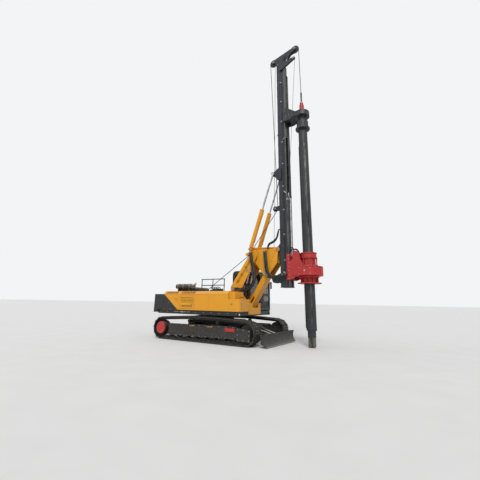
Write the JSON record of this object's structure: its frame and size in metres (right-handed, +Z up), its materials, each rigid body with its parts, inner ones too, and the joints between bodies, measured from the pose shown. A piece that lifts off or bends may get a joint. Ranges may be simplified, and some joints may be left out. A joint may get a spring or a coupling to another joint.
{
  "type": "crawler rotary piling rig",
  "caption": "Crawler piling rig with slewing body, luffing parallel linkage, tilting mast, sliding rotary drive, round kelly bar, hoisted guide and dozer blade.",
  "frame": {"origin": "on the ground, under the middle of the rig's outline", "axes": "+X forward to the kelly side, +Y to the machine's left, +Z up along the standing mast"},
  "size_m": [6.8538, 2.8, 12.6598],
  "materials": {
    "machine_yellow": "satin",
    "drive_red": "satin",
    "mast_blue_black": "satin",
    "frame_black": "satin",
    "track_steel": "matte",
    "bare_steel": "satin",
    "rod_chrome": "polished",
    "window_glass": "clear",
    "seat_cover": "matte",
    "hose_rubber": "matte"
  },
  "bodies": {
    "root": {"chassis": "frame_black", "slew_ring": "bare_steel", "track_frame_right": "frame_black", "track_frame_left": "frame_black", "sprocket_right": "track_steel", "sprocket_left": "track_steel", "idler_right": "track_steel", "idler_left": "track_steel", "track_right": "track_steel", "track_left": "track_steel"},
    "blade": {"blade": "track_steel"},
    "blade_barrels": {"blade_barrels": "frame_black"},
    "blade_rods": {"blade_rods": "rod_chrome"},
    "upper": {"platform": "frame_black", "counterweight": "frame_black", "side_panels": "frame_black", "right_housing": "machine_yellow", "left_housing": "machine_yellow", "front_tank": "machine_yellow", "engine_block": "track_steel", "silencer": "bare_steel", "handrails": "frame_black", "valve_bank": "frame_black", "main_winch": "frame_black", "boom_foot": "machine_yellow", "cab_shell": "frame_black", "cab_fittings": "frame_black", "cab_glass": "window_glass", "cab_seat": "seat_cover", "lamps": "bare_steel"},
    "cab_door": {"cab_door": "frame_black"},
    "right_door": {"right_door": "machine_yellow"},
    "left_door": {"left_door": "machine_yellow"},
    "hood": {"hood": "frame_black"},
    "boom": {"boom": "machine_yellow", "hose_boom": "hose_rubber"},
    "link": {"link": "machine_yellow"},
    "knuckle": {"knuckle": "machine_yellow"},
    "luff_barrels": {"luff_barrels": "frame_black"},
    "luff_rods": {"luff_rods": "rod_chrome"},
    "mast": {"mast": "mast_blue_black", "crown": "mast_blue_black", "crowd_barrel": "mast_blue_black", "aux_winch": "frame_black", "hose_drive": "hose_rubber"},
    "mast_barrels": {"mast_barrels": "machine_yellow"},
    "mast_rods": {"mast_rods": "rod_chrome"},
    "drive": {"drive_sled": "drive_red", "drive_gearbox": "drive_red", "drive_motors": "drive_red", "crowd_rod": "rod_chrome"},
    "drive_sleeve": {"drive_sleeve": "drive_red"},
    "kelly_guide": {"kelly_guide": "mast_blue_black", "swivel": "drive_red"},
    "kelly": {"kelly_outer": "mast_blue_black", "kelly_inner": "mast_blue_black"}
  },
  "joints": [
    {"name": "slew", "type": "hinge", "parent": "root", "child": "upper", "pos_m": [-0.99, 0, 0.92], "axis": [0, 0, 1], "continuous": true},
    {"name": "blade_lift", "type": "hinge", "parent": "root", "child": "blade", "pos_m": [0.06, 0, 0.43], "axis": [0, -1, 0], "range_deg": [-4, 15]},
    {"name": "blade_barrels_turn", "type": "hinge", "parent": "root", "child": "blade_barrels", "pos_m": [0.06, 0, 0.735], "axis": [0, -1, 0], "range_deg": [-3.94, 14.71]},
    {"name": "blade_rods_slide", "type": "slide", "parent": "blade_barrels", "child": "blade_rods", "axis": [0.9659, 0, -0.2591], "range_m": [-0.0807, 0.023]},
    {"name": "cab_door_swing", "type": "hinge", "parent": "upper", "child": "cab_door", "pos_m": [-0.37, 1.3013, 1.8], "axis": [0, 0, 1], "range_deg": [0, 115]},
    {"name": "right_door_swing", "type": "hinge", "parent": "upper", "child": "right_door", "pos_m": [-1.966, -1.3113, 1.42], "axis": [0, 0, -1], "range_deg": [0, 100]},
    {"name": "left_door_swing", "type": "hinge", "parent": "upper", "child": "left_door", "pos_m": [-1.966, 1.3113, 1.42], "axis": [0, 0, 1], "range_deg": [0, 100]},
    {"name": "hood_lift", "type": "hinge", "parent": "upper", "child": "hood", "pos_m": [-2.8913, 0, 1.8413], "axis": [0, -1, 0], "range_deg": [0, 55]},
    {"name": "boom_luff", "type": "hinge", "parent": "upper", "child": "boom", "pos_m": [0.03, 0, 1.95], "axis": [0, -1, 0], "range_deg": [-15, 20], "deforming": ["hose_boom"]},
    {"name": "link_follow", "type": "hinge", "parent": "upper", "child": "link", "pos_m": [0.51, 0, 1.22], "axis": [0, -1, 0], "range_deg": [-15.1, 20.1]},
    {"name": "knuckle_level", "type": "hinge", "parent": "boom", "child": "knuckle", "pos_m": [0.83, 0, 3.23], "axis": [0, -1, 0], "range_deg": [-20.1, 15.1]},
    {"name": "luff_barrels_turn", "type": "hinge", "parent": "upper", "child": "luff_barrels", "pos_m": [0.16, 0, 1.23], "axis": [0, -1, 0], "range_deg": [-8.27, 11.01]},
    {"name": "luff_rods_slide", "type": "slide", "parent": "luff_barrels", "child": "luff_rods", "axis": [0.2549, 0, 0.967], "range_m": [-0.0766, 0.1014]},
    {"name": "mast_tilt", "type": "hinge", "parent": "knuckle", "child": "mast", "pos_m": [1.81, 0, 3.4], "axis": [0, -1, 0], "range_deg": [-5, 90], "deforming": ["hose_drive"]},
    {"name": "mast_barrels_turn", "type": "hinge", "parent": "knuckle", "child": "mast_barrels", "pos_m": [0.68, 0, 3.47], "axis": [0, -1, 0], "range_deg": [-6.41, 115.04]},
    {"name": "mast_rods_slide", "type": "slide", "parent": "mast_barrels", "child": "mast_rods", "axis": [0.3238, 0, 0.9461], "range_m": [-1.226, 0.07]},
    {"name": "drive_crowd", "type": "slide", "parent": "mast", "child": "drive", "axis": [0, 0, 1], "range_m": [-0.05, 2.1]},
    {"name": "sleeve_spin", "type": "hinge", "parent": "drive", "child": "drive_sleeve", "pos_m": [2.94, 0, 2.6], "axis": [0, 0, 1], "continuous": true},
    {"name": "kelly_hoist", "type": "slide", "parent": "mast", "child": "kelly_guide", "axis": [0, 0, 1], "range_m": [-4.9, 1.7]},
    {"name": "kelly_spin", "type": "hinge", "parent": "kelly_guide", "child": "kelly", "pos_m": [2.94, 0, 9], "axis": [0, 0, 1], "continuous": true}
  ],
  "couplings": [
    {"joint": "blade_barrels_turn", "follows": "blade_lift", "ratio": 0.97},
    {"joint": "blade_rods_slide", "follows": "blade_lift", "m_per_rad": -0.3005},
    {"joint": "link_follow", "follows": "boom_luff", "ratio": 1},
    {"joint": "knuckle_level", "follows": "boom_luff", "ratio": -1},
    {"joint": "luff_barrels_turn", "follows": "boom_luff", "ratio": 0.5442},
    {"joint": "luff_rods_slide", "follows": "boom_luff", "m_per_rad": 0.2848},
    {"joint": "mast_barrels_turn", "follows": "mast_tilt", "ratio": 1.2653},
    {"joint": "mast_rods_slide", "follows": "mast_tilt", "m_per_rad": -0.7792},
    {"joint": "sleeve_spin", "follows": "kelly_spin", "ratio": 1}
  ]
}
